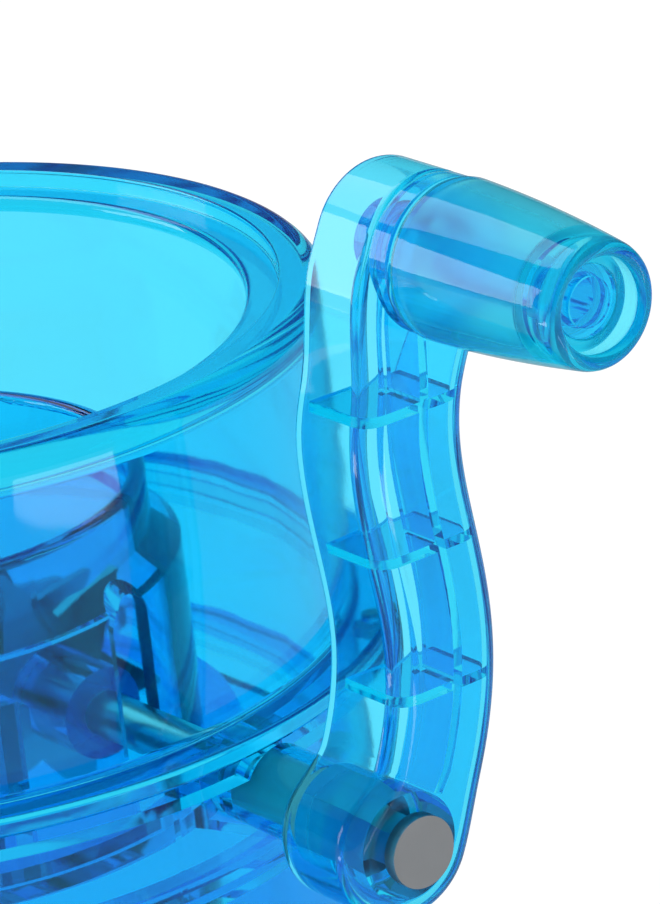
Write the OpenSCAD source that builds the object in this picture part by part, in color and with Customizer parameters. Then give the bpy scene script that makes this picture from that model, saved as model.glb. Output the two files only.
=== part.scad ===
// Hand-crank ice crusher: a clear blue tub with a stepped feed tube inside,
// a toothed rotor on a cross shaft, a crank on the right and an ice drawer below.
// Millimetres, +Z up, +X towards the crank, -Y towards the drawer front.
// The origin is the centre of the underside of the feet.

/* [Tub] */
// Outer radius of the tub wall
tub_r = 80; // [76:0.5:84]
// Thickness of the tub wall
tub_wall = 3; // [2:0.25:3.5]
// Height of the tub from its seam to the rim
tub_h = 60; // [54:1:70]
// Radius of the rounding on the rim's outer edge
rim_round = 4.5; // [3.5:0.25:5]
// Width of the flat land on top of the rim
land_w = 3.5; // [2:0.25:5]
// Depth of the lid rebate below the rim
rebate_depth = 3; // [2:0.25:4]
// Width of the ledge that a lid rests on
ledge_w = 6; // [4:0.5:9]
// Thickness of the ledge
ledge_t = 3; // [2:0.25:4]

/* [Seam] */
// How far the seam flanges stand out from the wall
flange_w = 7; // [6:0.5:8]
// Thickness of the tub's flange
tub_flange_t = 3; // [2.6:0.2:5]
// Thickness of the housing's flange
housing_flange_t = 4; // [3:0.25:5]
// Number of screws through the seam
seam_screws = 4; // [4:2:6]

/* [Feed tube] */
// Outer radius of the tube's upper part
tube_top_r = 46; // [43:0.5:47]
// Outer radius of the tube's lower part
tube_low_r = 50.5; // [50:0.25:52]
// Thickness of the tube wall
tube_wall = 3.2; // [2.4:0.2:3.6]
// Height of the tube
tube_h = 51; // [47:1:58]
// Height of the step above the tube's foot
step_h = 37; // [34:0.5:38]
// Height of the cone between the two radii
cone_h = 4; // [3:0.5:6]
// Width of the arched slot that straddles the shaft
slot_w = 9.5; // [9:0.25:12]
// Height of the arched slot
slot_h = 38; // [30:0.5:38]
// Width of the tube's foot ring
foot_ring_w = 6.5; // [6:0.25:7.5]
// Thickness of the tube's foot ring
foot_ring_t = 2.5; // [2:0.25:3.5]

/* [Housing] */
// Height of the housing from the base plate to the seam
housing_h = 116; // [114:1:124]
// Distance from the inner wall to the side of the drawer bay
bay_side = 17; // [15:0.5:21]
// Depth of the drawer bay's top below the seam
bay_drop = 32; // [31:1:38]
// Height of the bay above the base plate
bay_lift = 2; // [1:0.5:3]
// Thickness of the base plate
base_t = 4; // [3.5:0.25:6]
// Radius of the housing's shaft bosses
boss_r = 7.5; // [7.2:0.1:8]
// How far the right boss stands out past the flange
right_out = 12; // [10:0.5:13]
// How far the left boss stands out past the flange
left_out = 8; // [7:0.5:12]

/* [Feet] */
// Radius of a rubber foot
foot_r = 9; // [6:0.5:12]
// Height of a rubber foot
foot_h = 3; // [2:0.25:5]
// Distance of the feet from the centre
foot_ring_r = 62; // [50:1:66]

/* [Drawer] */
// Clearance between the drawer's body and its rails
drawer_gap = 0.4; // [0.3:0.1:1]
// Clearance round the drawer's front panel
panel_gap = 0.6; // [0.4:0.1:1.2]
// Thickness of the drawer's walls
drawer_wall = 2; // [1.5:0.25:3]
// How far the drawer's side walls stay below the top of the bay
drawer_drop = 1.7; // [1.2:0.1:12]
// Half width of the finger grip
grip_half = 28; // [18:1:40]
// How far the finger grip stands out
grip_out = 9; // [6:0.5:14]

/* [Rotor] */
// Radius of the drive shaft
shaft_r = 4; // [3.5:0.1:4.2]
// Distance of the shaft behind the centre
shaft_back = 16.5; // [15:0.25:18]
// Depth of the shaft below the seam
shaft_drop = 8; // [7.6:0.1:9]
// Radius of the blades' tips
blade_r = 24; // [20:0.5:24.5]
// Radius of the blades' roots
blade_root_r = 12; // [9:0.5:15]
// Number of teeth on a blade
blade_teeth = 6; // [4:1:8]
// Thickness of a blade
blade_t = 2; // [1.5:0.1:3]
// Distance from one blade to the next
blade_pitch = 13; // [11:0.5:14]
// Radius of the spacers between the blades
spacer_r = 8; // [6:0.25:8.5]

/* [Comb] */
// Thickness of the comb's bar
comb_t = 3; // [2:0.25:3.5]
// Height of the comb's bar
comb_h = 24; // [20:0.5:25]
// Thickness of a comb tooth
comb_tooth_t = 2; // [1.5:0.1:3]

/* [Crank] */
// Height of the knob above the shaft
crank_rise = 94.6; // [88:0.2:98]
// How far the knob lies behind the shaft
crank_shift = 16.8; // [10:0.2:20]
// How far the arm swings out to each side of a straight line
arm_wave = 4.7; // [0:0.1:7]
// Width of the arm's round ends
arm_w = 25.5; // [23:0.25:27]
// How far the arm's front side moves in between its ends
front_in = 4.1; // [0:0.1:4.5]
// How far the arm's back side moves in between its ends
back_in = 0.7; // [0:0.1:2]
// Depth of the arm's channel section
arm_d = 18.4; // [16:0.2:21]
// How much shallower the channel is at the knob
knob_end_cut = 3.2; // [0:0.1:4]
// Thickness of the arm's skin and side walls
arm_wall = 2; // [1.5:0.1:3]
// Thickness of the cross ribs
rib_t = 1.7; // [1:0.1:2]
// How far the ribs stay below the open edge
rib_recess = 3.2; // [1:0.1:5]
// Height of the long rib down the skin
spine_h = 8; // [3:0.5:10]
// How far the long rib lies behind the arm's middle line
spine_back = 3.7; // [0:0.1:4]
// Width of the square drive on the shaft's end
square_w = 6; // [5:0.1:6.4]
// Height of the round collar under the knob
collar_h = 3.2; // [2:0.2:5]

/* [Knob] */
// Radius of the knob's big end
knob_big_r = 13.1; // [12:0.1:14]
// Radius of the knob's small end
knob_small_r = 10; // [9.4:0.1:11]
// Length of the knob
knob_l = 35.2; // [33:0.2:42]
// Bulge of the knob's side
knob_bulge = 0.5; // [0:0.05:1]
// Thickness of the knob's wall
knob_wall = 2.2; // [1.6:0.1:2.6]
// Radius of the knob's spindle
spindle_r = 3; // [2.5:0.1:3.4]
// Depth of the recess in the knob's end
knob_recess = 4; // [3:0.2:5]

/* [Fits] */
// Running clearance on the radius of a shaft
run_gap = 0.05; // [0.02:0.01:0.1]
// Clearance on the radius of a seat within one body
seat_gap = 0.02; // [0.01:0.01:0.05]
// Clearance between faces that turn past each other
side_gap = 0.3; // [0.2:0.05:0.5]

/* [Hidden] */
$fn = 96;

clear_blue = [0.15, 0.66, 0.93, 0.6];
natural = [0.85, 0.93, 0.96, 0.4];
deep_blue = [0.05, 0.5, 0.82, 0.7];
steel = [0.75, 0.77, 0.79];
rubber_dark = [0.12, 0.12, 0.13];

base_z = foot_h;                          // underside of the base plate
housing_z = base_z + base_t;              // foot of the housing
seam_z = housing_z + housing_h;           // where tub and housing meet
rim_z = seam_z + tub_h;                   // top of the rim
shaft_z = seam_z - shaft_drop;            // height of the shaft
tub_in = tub_r - tub_wall;                // inner radius of tub and housing
flange_r = tub_r + flange_w;
land_in = tub_r - rim_round - land_w;     // inner radius of the land
mouth_r = land_in - ledge_w;              // clear radius of the mouth
seam_ring_r = tub_r + flange_w / 2;       // circle of the seam screws
boss_reach = flange_r + right_out;        // ends of the two shaft bosses
left_reach = flange_r + left_out;
bay_w = 2 * (tub_in - bay_side);          // width of the drawer bay
bay_h = housing_h - bay_lift - bay_drop;  // height of the drawer bay

screw_r = 1.5;                            // shank of the small screws
screw_head_r = 2.9;
screw_head_t = 1.8;
base_boss_r = 6;                          // bosses that take the base screws
base_boss_h = 14;
base_bite = 11;                           // length of a base screw in its boss
foot_stem_r = 2.5;                        // stem of a rubber foot
fine_screw_r = 1.2;                       // shank of the carrier screws
fine_head_r = 2.2;
fine_head_t = 1.3;

// Drawer bay
drawer_h = bay_h - side_gap - drawer_drop;
drawer_rail_w = 2.2;                      // width of the rails on the base plate
runner_w = 8;                             // width of the runners that carry the drawer
runner_h = bay_lift + side_gap - 0.1;
bay_back = 40;                            // the bay's opening ends this far in front of the centre

// Carrier, tube and comb
carrier_t = 3;                            // thickness of the carrier's rings
carrier_arm_w = 6;
carrier_arm_h = 6;
shelf_w = 5;                              // ledge inside the housing
shelf_t = 3;
tube_z = seam_z - 22;                     // foot of the tube
carrier_z = tube_z - carrier_t;
tube_low_in = tube_low_r - tube_wall;
tube_top_in = tube_top_r - tube_wall;
tube_foot_r = tube_low_r + foot_ring_w;
foot_screw_r = tube_low_r + foot_ring_w / 2 + 0.25;
carrier_out_r = tub_in - 0.3;
shelf_screw_r = tub_in - shelf_w / 2;

comb_back = shaft_back - blade_r - 3.5;   // rear face of the comb's bar
comb_front = comb_back - comb_t;
comb_z = tube_z + 1.5;
comb_half = sqrt(pow(tube_low_in, 2) - pow(comb_front, 2)) - 2.2;
comb_gap = 0.15;
rail_t = 3.6;                             // thickness of a rail beside the bar
rail_x = comb_half - 6;
comb_screw_x = comb_half - 3;
comb_screw_z = comb_z + 9;
comb_tip = shaft_back - spacer_r - 1;     // tips of the comb's teeth

// Shaft and bushes
bush_wall = 1.45;
bush_flange_t = 1.5;
bush_r = shaft_r + run_gap + bush_wall;
bush_l = 18;
washer_t = 1;
blade_count = 4;
blade_half = blade_pitch * (blade_count - 1) / 2;
end_spacer_l = 15;
clip_t = 0.8;
clip_x = left_reach + bush_flange_t + side_gap;
shaft_left = clip_x + clip_t + 2;
cap_wall = 1.6;
cap_grip = left_out - 1.5;                // length of boss that the cap covers
cap_gap = 0.1;

// Crank
hub_x = boss_reach + bush_flange_t + washer_t + 2 * side_gap;   // inner face of the hub
arm_x = hub_x;                            // open edge of the channel
knob_end_x = arm_x + knob_end_cut;        // open edge at the knob
arm_out = arm_x + arm_d;                  // outer face of the arm
skin_x = arm_out - arm_wall;              // inner face of the skin
arm_half = arm_w / 2;
hub_r = 9;
knob_boss_r = 6.5;
knob_y = shaft_back + crank_shift;
knob_z = shaft_z + crank_rise;
square_x = hub_x - 0.2;                   // where the shaft turns square
square_end = skin_x - 1;
hub_screw_r = 2;
hub_screw_l = 14;
hub_head_r = 6;
hub_head_t = 2.4;

// Knob
collar_x = arm_out + collar_h;
knob_x = collar_x + 0.8;
knob_end = knob_x + knob_l;
knob_washer_t = 0.9;
sleeve_wall = 1.3;
sleeve_in = spindle_r + run_gap;
sleeve_r = sleeve_in + sleeve_wall;
sleeve_x = collar_x + knob_washer_t + side_gap;
plug_t = 1.6;
plug_r = 5.6;
face_x = knob_end - knob_recess;          // floor of the end recess
head_t = 1.6;                             // head of the spindle
face_t = 4.5;                             // thickness of the knob's end face
pocket_r = 5.8;                           // pocket that takes the plug
head_x = face_x - plug_t - head_t - 0.3;
web_t = 1.5;                              // web that joins the sleeve to the end face
web_x = face_x - face_t - web_t;

// ---- helpers ----

// Puts a shape drawn in Y and Z at x and gives it a depth along X.
module slab(x, depth) {
    translate([x, 0, 0]) rotate([90, 0, 90]) linear_extrude(depth) children();
}

// A round bar along X.
module bar_x(x, depth, r) {
    translate([x, 0, 0]) rotate([0, 90, 0]) cylinder(h = depth, r = r);
}

module at_shaft() {
    translate([0, shaft_back, shaft_z]) children();
}

module at_knob() {
    translate([0, knob_y, knob_z]) children();
}

module tube_of(r_out, r_in, h) {
    difference() {
        cylinder(h = h, r = r_out);
        translate([0, 0, -1]) cylinder(h = h + 2, r = r_in);
    }
}

module ring_x(x, depth, r_out, r_in) {
    difference() {
        bar_x(x, depth, r_out);
        bar_x(x - 1, depth + 2, r_in);
    }
}

// Copies a shape round the Z axis.
module around(count, start) {
    for (i = [0 : count - 1]) rotate([0, 0, start + i * 360 / count]) children();
}

// ---- tub ----

module tub() {
    color(clear_blue) difference() {
        rotate_extrude() tub_profile();
        around(seam_screws, 45) translate([seam_ring_r, 0, seam_z - 1])
            cylinder(h = tub_flange_t, r = screw_r + seat_gap, $fn = 32);
    }
}

module tub_profile() {
    ledge_z = rim_z - rebate_depth - ledge_t;
    nose_r = ledge_t / 2;
    translate([tub_in, seam_z]) square([tub_wall, tub_h - rim_round]);
    translate([tub_in, seam_z]) square([tub_wall + flange_w, tub_flange_t]);
    translate([tub_r - rim_round, rim_z - rim_round]) circle(r = rim_round);
    translate([land_in, ledge_z]) square([land_w, rebate_depth + ledge_t]);
    translate([mouth_r + nose_r, ledge_z]) square([ledge_w - nose_r + land_w, ledge_t]);
    translate([mouth_r + nose_r, ledge_z + nose_r]) circle(r = nose_r, $fn = 48);
}

// ---- feed tube and its carrier ----

module feed_tube() {
    color(deep_blue) difference() {
        union() {
            rotate_extrude() tube_profile();
            for (side = [-1, 1]) comb_rail(side);
        }
        for (side = [0, 1]) mirror([side, 0, 0]) shaft_slot();
        comb_screw_holes();
        around(4, 45) translate([foot_screw_r, 0, tube_z - 1])
            cylinder(h = foot_ring_t, r = fine_screw_r + seat_gap, $fn = 32);
    }
}

module tube_profile() {
    lip = tube_wall / 2;
    step_z = tube_z + step_h;
    top_z = tube_z + tube_h;
    polygon([
        [tube_low_in, tube_z], [tube_foot_r, tube_z],
        [tube_foot_r, tube_z + foot_ring_t], [tube_low_r, tube_z + foot_ring_t],
        [tube_low_r, step_z], [tube_top_r, step_z + cone_h],
        [tube_top_r, top_z - lip], [tube_top_in, top_z - lip],
        [tube_top_in, step_z + cone_h - lip], [tube_low_in, step_z - lip]
    ]);
    translate([tube_top_r - lip, top_z - lip]) circle(r = lip, $fn = 48);
}

// Arched slot, open at the foot, that drops over the shaft.
module shaft_slot() {
    arch_z = tube_z + slot_h - slot_w / 2;
    slab(tube_low_in - 12, foot_ring_w + 20) {
        translate([shaft_back - slot_w / 2, tube_z - 1]) square([slot_w, arch_z - tube_z + 1]);
        translate([shaft_back, arch_z]) circle(d = slot_w);
    }
}

module comb_rail(side) {
    rail_top = comb_z + comb_h + comb_gap;
    y0 = comb_front - comb_gap - rail_t;
    rail_depth = comb_t + 2 * (comb_gap + rail_t);
    intersection() {
        translate([side > 0 ? rail_x : -tube_low_r, y0, tube_z])
            difference() {
                cube([tube_low_r - rail_x, rail_depth, rail_top - tube_z + 2]);
                translate([-1, rail_t, -1])
                    cube([tube_low_r, comb_t + 2 * comb_gap, rail_top - tube_z + 1]);
            }
        translate([0, 0, tube_z]) cylinder(h = tube_h, r = tube_low_in + 0.6);
    }
}

module comb_screw_holes() {
    for (side = [-1, 1]) translate([side * comb_screw_x, comb_back + comb_gap + 2.6, comb_screw_z])
        rotate([90, 0, 0]) cylinder(h = 20, r = fine_screw_r + seat_gap, $fn = 32);
}

module tube_carrier() {
    color(clear_blue) difference() {
        translate([0, 0, carrier_z]) {
            tube_of(carrier_out_r, tub_in - shelf_w, carrier_t);
            tube_of(tube_foot_r + 1, tube_low_in, carrier_t);
            around(4, 22.5) carrier_arm();
        }
        around(4, 45) translate([foot_screw_r, 0, carrier_z - 1])
            cylinder(h = carrier_t + 2, r = fine_screw_r + seat_gap, $fn = 32);
        around(4, 45) translate([shelf_screw_r, 0, carrier_z - 1])
            cylinder(h = carrier_t + 2, r = fine_screw_r + seat_gap, $fn = 32);
    }
}

module carrier_arm() {
    arm_start = tube_foot_r + 0.5;
    translate([arm_start, -carrier_arm_w / 2, 0])
        cube([tub_in - shelf_w + 1 - arm_start, carrier_arm_w, carrier_arm_h]);
}

module fine_screw(length) {
    translate([0, 0, -fine_head_t]) cylinder(h = fine_head_t, r = fine_head_r, $fn = 32);
    cylinder(h = length, r = fine_screw_r, $fn = 32);
}

// Four screws hold the tube's foot from below and four hold the carrier down.
module carrier_screws() {
    color(steel) {
        around(4, 45) translate([foot_screw_r, 0, carrier_z])
            fine_screw(carrier_t + foot_ring_t - 1.2);
        around(4, 45) translate([shelf_screw_r, 0, carrier_z + carrier_t])
            mirror([0, 0, 1]) fine_screw(carrier_t + shelf_t - 1.2);
    }
}

// ---- housing, base and drawer ----

module housing() {
    color(clear_blue) difference() {
        union() {
            rotate_extrude() housing_profile();
            for (spot = base_screw_spots()) translate([spot[0], spot[1], housing_z])
                cylinder(h = base_boss_h, r = base_boss_r, $fn = 48);
            at_shaft() difference() {
                bar_x(-left_reach, left_reach + boss_reach, boss_r);
                bar_x(-tub_in + 3, 2 * tub_in - 6, boss_r + 1);
            }
        }
        at_shaft() bar_x(-left_reach - 1, left_reach + boss_reach + 2, bush_r + seat_gap);
        translate([-bay_w / 2, -tub_r - grip_out - 1, housing_z + bay_lift])
            cube([bay_w, tub_r + grip_out + 1 - bay_back, bay_h]);
        around(seam_screws, 45) translate([seam_ring_r, 0, seam_z - housing_flange_t - 1])
            cylinder(h = housing_flange_t + 2, r = screw_r + seat_gap, $fn = 32);
        around(4, 45) translate([shelf_screw_r, 0, carrier_z - shelf_t + 0.5])
            cylinder(h = shelf_t, r = fine_screw_r + seat_gap, $fn = 32);
        for (spot = base_screw_spots()) translate([spot[0], spot[1], housing_z - 1])
            cylinder(h = base_boss_h - 1, r = screw_r + seat_gap, $fn = 32);
    }
}

module housing_profile() {
    translate([tub_in, housing_z]) square([tub_wall, housing_h]);
    translate([tub_in, seam_z - housing_flange_t])
        square([tub_wall + flange_w, housing_flange_t]);
    translate([tub_in - shelf_w, carrier_z - shelf_t]) square([shelf_w + 1, shelf_t]);
}

// The screws stand just outside the bay and touch the wall with their bosses.
base_spot_x = bay_w / 2 + base_boss_r + 1;
base_spot_y = sqrt(pow(tub_in - base_boss_r + 0.6, 2) - pow(base_spot_x, 2));
function base_screw_spots() = [for (sx = [-1, 1], sy = [-1, 1])
    [sx * base_spot_x, sy * base_spot_y]];

module base_plate() {
    color(deep_blue) difference() {
        union() {
            translate([0, 0, base_z]) cylinder(h = base_t, r = tub_r);
            for (side = [-1, 1]) translate([0, 0, housing_z]) drawer_rail(side);
        }
        for (spot = base_screw_spots()) translate([spot[0], spot[1], base_z - 1]) {
            cylinder(h = base_t + 2, r = screw_r + seat_gap, $fn = 32);
            cylinder(h = 1 + screw_head_t, r = screw_head_r + 0.3, $fn = 32);
        }
        at_feet() translate([0, 0, base_z - 1])
            cylinder(h = base_t, r = foot_stem_r + seat_gap, $fn = 32);
    }
}

// One foot stands at the centre and four round it.
module at_feet() {
    children();
    around(4, 45) translate([foot_ring_r, 0, 0]) children();
}

module drawer_rail(side) {
    rail_h = 8;
    rail_in = bay_w / 2 - drawer_rail_w;
    translate([side > 0 ? rail_in : -rail_in - drawer_rail_w, -bay_back, 0])
        cube([drawer_rail_w, 2 * bay_back, rail_h]);
    translate([side > 0 ? rail_in - runner_w : -rail_in - 1, -bay_back, 0])
        cube([runner_w + 1, 2 * bay_back, runner_h]);
}

// Rubber feet with stems that press into the base plate.
module rubber_feet() {
    color(rubber_dark) at_feet() {
        cylinder(h = foot_h, r = foot_r, $fn = 64);
        cylinder(h = foot_h + base_t - 1.2, r = foot_stem_r, $fn = 32);
    }
}

module base_screws() {
    color(steel) for (spot = base_screw_spots()) translate([spot[0], spot[1], base_z]) {
        cylinder(h = screw_head_t, r = screw_head_r, $fn = 32);
        cylinder(h = base_t + base_bite, r = screw_r, $fn = 32);
    }
}

module seam_screws_set() {
    color(steel) around(seam_screws, 45)
        translate([seam_ring_r, 0, seam_z - housing_flange_t]) {
            translate([0, 0, -screw_head_t]) cylinder(h = screw_head_t, r = screw_head_r, $fn = 32);
            cylinder(h = housing_flange_t + tub_flange_t - 1.2, r = screw_r, $fn = 32);
        }
}

module ice_drawer() {
    body_half = bay_w / 2 - drawer_rail_w - drawer_gap;
    body_r = tub_in - 2.5;
    body_z = housing_z + bay_lift + side_gap;
    panel_z = housing_z + bay_lift + panel_gap;
    panel_h = bay_h - 2 * panel_gap;
    color(clear_blue) difference() {
        union() {
            translate([0, 0, body_z]) round_box(body_r, body_half, drawer_h);
            translate([0, 0, panel_z]) drawer_panel(panel_h, body_r);
            translate([0, 0, panel_z + panel_h - 14]) drawer_grip();
        }
        translate([0, 0, body_z + drawer_wall])
            round_box(body_r - drawer_wall, body_half - drawer_wall, drawer_h + 5);
    }
}

// A disc cut straight at both sides.
module round_box(r, half, h) {
    intersection() {
        cylinder(h = h, r = r);
        translate([-half, -r - 1, -1]) cube([2 * half, 2 * r + 2, h + 2]);
    }
}

module drawer_panel(h, r_in) {
    half = bay_w / 2 - panel_gap;
    intersection() {
        tube_of(tub_r, r_in - drawer_wall, h);
        translate([-half, -tub_r - 1, -1]) cube([2 * half, tub_r - bay_back, h + 2]);
    }
}

module drawer_grip() {
    lip_t = 3;
    intersection() {
        union() {
            translate([0, 0, 8]) tube_of(tub_r + grip_out, tub_r - 1, 4);
            tube_of(tub_r + grip_out, tub_r + grip_out - lip_t, 12);
        }
        translate([-grip_half, -tub_r - grip_out - 1, -1]) cube([2 * grip_half, tub_r, 20]);
    }
}

// ---- comb ----

module fixed_comb() {
    color(steel) difference() {
        union() {
            translate([-comb_half, comb_front, comb_z]) cube([2 * comb_half, comb_t, comb_h]);
            for (i = [-2 : 2]) slab(i * blade_pitch - comb_tooth_t / 2, comb_tooth_t) comb_tooth();
        }
        comb_screw_holes();
    }
}

module comb_tooth() {
    polygon([
        [comb_back - 0.5, comb_z + 2], [comb_back - 0.5, comb_z + comb_h - 2],
        [comb_tip, shaft_z + 2], [comb_tip, shaft_z - 3]
    ]);
}

module comb_screws() {
    head_y = comb_front - comb_gap - rail_t;
    color(steel) for (side = [-1, 1])
        translate([side * comb_screw_x, head_y, comb_screw_z]) rotate([-90, 0, 0])
            fine_screw(comb_t + 2 * comb_gap + rail_t + 2.2);
}

// ---- shaft and rotor ----

module drive_shaft() {
    color(steel) at_shaft() difference() {
        union() {
            bar_x(-shaft_left, shaft_left + square_x, shaft_r);
            translate([square_x, -square_w / 2, -square_w / 2])
                cube([square_end - square_x, square_w, square_w]);
        }
        bar_x(square_end - hub_screw_l, hub_screw_l + 1, hub_screw_r + seat_gap);
        ring_x(-clip_x - clip_t - 0.05, clip_t + 0.1, shaft_r + 1, shaft_r - 0.6);
    }
}

// A toothed disc; each blade is turned a little further than the last.
module rotor_blade(i) {
    x = -blade_half + i * blade_pitch;
    color(steel) at_shaft() difference() {
        slab(x - blade_t / 2, blade_t) rotate(i * 360 / blade_teeth / blade_count)
            polygon([for (k = [0 : 2 * blade_teeth - 1])
                let (r = k % 2 == 0 ? blade_r : blade_root_r, a = k * 180 / blade_teeth)
                [r * cos(a), r * sin(a)]]);
        bar_x(x - blade_t, 2 * blade_t, shaft_r + seat_gap);
    }
}

module rotor_blade_1() { rotor_blade(0); }
module rotor_blade_2() { rotor_blade(1); }
module rotor_blade_3() { rotor_blade(2); }
module rotor_blade_4() { rotor_blade(3); }

module rotor_spacers() {
    gap_l = blade_pitch - blade_t;
    color(deep_blue) at_shaft() {
        for (i = [0 : blade_count - 2])
            ring_x(-blade_half + i * blade_pitch + blade_t / 2, gap_l, spacer_r, shaft_r + seat_gap);
        for (side = [0, 1]) mirror([side, 0, 0])
            ring_x(blade_half + blade_t / 2, end_spacer_l, spacer_r, shaft_r + seat_gap);
    }
}

module bush(x) {
    color("ivory") at_shaft() difference() {
        union() {
            bar_x(x - bush_l, bush_l, bush_r);
            bar_x(x, bush_flange_t, boss_r - 0.3);
        }
        bar_x(x - bush_l - 1, bush_l + bush_flange_t + 2, shaft_r + run_gap);
    }
}

module bush_right() { bush(boss_reach); }
module bush_left() { mirror([1, 0, 0]) bush(left_reach); }

module thrust_washer() {
    color(steel) at_shaft()
        ring_x(boss_reach + bush_flange_t + side_gap, washer_t, boss_r, shaft_r + seat_gap);
}

// Open ring that snaps into the shaft's groove.
module retaining_clip() {
    color(steel) at_shaft() difference() {
        ring_x(-clip_x - clip_t, clip_t, shaft_r + 2, shaft_r - 0.55);
        translate([-clip_x - clip_t - 1, -2.4, 0]) cube([clip_t + 2, 4.8, shaft_r + 3]);
    }
}

module shaft_cap() {
    cap_x = shaft_left + 1.2;
    color(clear_blue) at_shaft() difference() {
        bar_x(-cap_x - cap_wall, cap_x + cap_wall - left_reach + cap_grip, boss_r + cap_wall);
        bar_x(-cap_x, cap_x, boss_r + cap_gap);
    }
}

// ---- crank ----

// Middle line of the arm, as a distance back for a height above the shaft.
function arm_mid(h) = crank_shift * h / crank_rise + arm_wave * sin(360 * h / crank_rise);
function arm_slope(h) = crank_shift / crank_rise
    + arm_wave * 2 * PI / crank_rise * cos(360 * h / crank_rise);
function arm_side(h, d) = let (s = arm_slope(h), n = sqrt(1 + s * s))
    [arm_mid(h) + d / n, h - d * s / n];

// 0 at the hub and the knob, 1 where the arm is narrow between them.
function eased(t) = let (u = max(0, min(1, t))) u * u * (3 - 2 * u);
function arm_waist(h) = eased(h / (0.12 * crank_rise))
    * eased((0.95 * crank_rise - h) / (0.19 * crank_rise));

// Outline of the arm at a half width, with round ends at hub and knob.
module arm_outline(half) {
    steps = 48;
    span = [for (i = [0 : steps]) crank_rise * i / steps];
    polygon(concat(
        [for (h = span) arm_side(h, half - back_in * arm_waist(h))],
        [for (i = [steps : -1 : 0]) arm_side(span[i], front_in * arm_waist(span[i]) - half)]
    ));
    circle(r = half);
    translate([crank_shift, crank_rise]) circle(r = half);
}

module crank_arm() {
    inner = arm_half - arm_wall;
    color(clear_blue) at_shaft() difference() {
        union() {
            difference() {
                slab(arm_x, arm_d) arm_outline(arm_half);
                slab(arm_x - 1, arm_d - arm_wall + 1) arm_outline(inner);
                arm_knob_cut();
            }
            arm_ribs();
            bar_x(hub_x, skin_x - hub_x + 0.5, hub_r);
            translate([0, crank_shift, crank_rise]) {
                bar_x(knob_end_x + rib_recess, skin_x - knob_end_x - rib_recess + 0.5, knob_boss_r);
                bar_x(arm_out - 0.5, collar_h + 0.5, arm_half);
            }
        }
        translate([hub_x - 1, -square_w / 2 - 0.05, -square_w / 2 - 0.05])
            cube([square_end + 0.3 - hub_x + 1, square_w + 0.1, square_w + 0.1]);
        bar_x(hub_x, arm_d + 10, hub_screw_r + 0.1);
        translate([0, crank_shift, crank_rise])
            bar_x(arm_x - 1, arm_d + collar_h + 2, spindle_r + seat_gap);
    }
}

// Takes away the channel's open edge towards the knob.
module arm_knob_cut() {
    translate([0, crank_shift + arm_w, 0]) rotate([90, 0, 0]) linear_extrude(2 * arm_w)
        polygon([
            [arm_x - 1, 0.66 * crank_rise], [arm_x, 0.66 * crank_rise],
            [knob_end_x, 0.9 * crank_rise], [knob_end_x, crank_rise + arm_w],
            [arm_x - 1, crank_rise + arm_w]
        ]);
}

// Cross ribs at the quarter heights and the long rib between hub and knob.
module arm_ribs() {
    rib_x = arm_x + rib_recess;
    intersection() {
        slab(rib_x, skin_x - rib_x + 0.5) for (i = [1 : 3])
            translate([-arm_w, crank_rise * i / 4 - rib_t / 2]) square([3 * arm_w, rib_t]);
        slab(rib_x - 1, arm_d) arm_outline(arm_half - arm_wall / 2);
    }
    slab(skin_x - spine_h, spine_h + 0.5) arm_spine();
}

module arm_spine() {
    steps = 30;
    low = hub_r - 1;
    high = crank_rise - knob_boss_r + 1;
    span = [for (i = [0 : steps]) low + (high - low) * i / steps];
    polygon(concat(
        [for (h = span) arm_side(h, spine_back * arm_waist(h) + rib_t / 2)],
        [for (i = [steps : -1 : 0]) arm_side(span[i], spine_back * arm_waist(span[i]) - rib_t / 2)]
    ));
}

module hub_screw() {
    color(steel) at_shaft() {
        bar_x(arm_out, hub_head_t, hub_head_r);
        bar_x(square_end - hub_screw_l + 2, arm_out - square_end + hub_screw_l - 1.5, hub_screw_r);
    }
}

// Pin that the knob turns on, riveted behind the arm's boss and headed at the knob.
module knob_spindle() {
    color(natural) at_knob() {
        bar_x(knob_end_x + rib_recess, head_x - knob_end_x - rib_recess, spindle_r);
        bar_x(knob_end_x + rib_recess - 1.4, 1.4, spindle_r + 1.8);
        bar_x(head_x, head_t, spindle_r + 1.4);
    }
}

module knob_washer() {
    color(natural) at_knob()
        ring_x(collar_x + seat_gap, knob_washer_t, sleeve_r + 1, spindle_r + seat_gap);
}

// ---- knob ----

function knob_side(t) = knob_big_r + (knob_small_r - knob_big_r) * t
    + knob_bulge * 4 * t * (1 - t);

module crank_knob() {
    color(clear_blue) at_knob() translate([knob_x, 0, 0]) rotate([0, 90, 0])
        rotate_extrude() knob_profile();
}

// Half section of the knob, radius against distance from its big end.
module knob_profile() {
    steps = 12;
    lip = knob_wall / 2;
    end = knob_l - lip;
    floor_z = face_x - knob_x;
    inner_end = floor_z - face_t;
    sleeve_z = sleeve_x - knob_x;
    polygon(concat(
        [for (i = [0 : steps]) [knob_side(i / steps), end * i / steps]],
        [for (i = [steps : -1 : 0]) [knob_side(i / steps) - knob_wall, end * i / steps]]
    ));
    translate([knob_small_r - lip, end]) circle(r = lip, $fn = 48);
    translate([pocket_r, inner_end]) square([knob_small_r - lip - pocket_r, face_t]);
    translate([sleeve_in, sleeve_z]) square([sleeve_wall, head_x - side_gap - sleeve_z - knob_x]);
    translate([sleeve_r - 0.5, web_x - knob_x])
        square([knob_side((web_x - knob_x) / knob_l) - knob_wall / 2 - sleeve_r, web_t]);
}

// Disc that closes the knob's end over the spindle's head.
module knob_plug() {
    color(deep_blue) at_knob() {
        bar_x(face_x - plug_t, plug_t, pocket_r - seat_gap);
        bar_x(face_x - 0.1, 0.9, plug_r - 1.6);
    }
}

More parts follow.
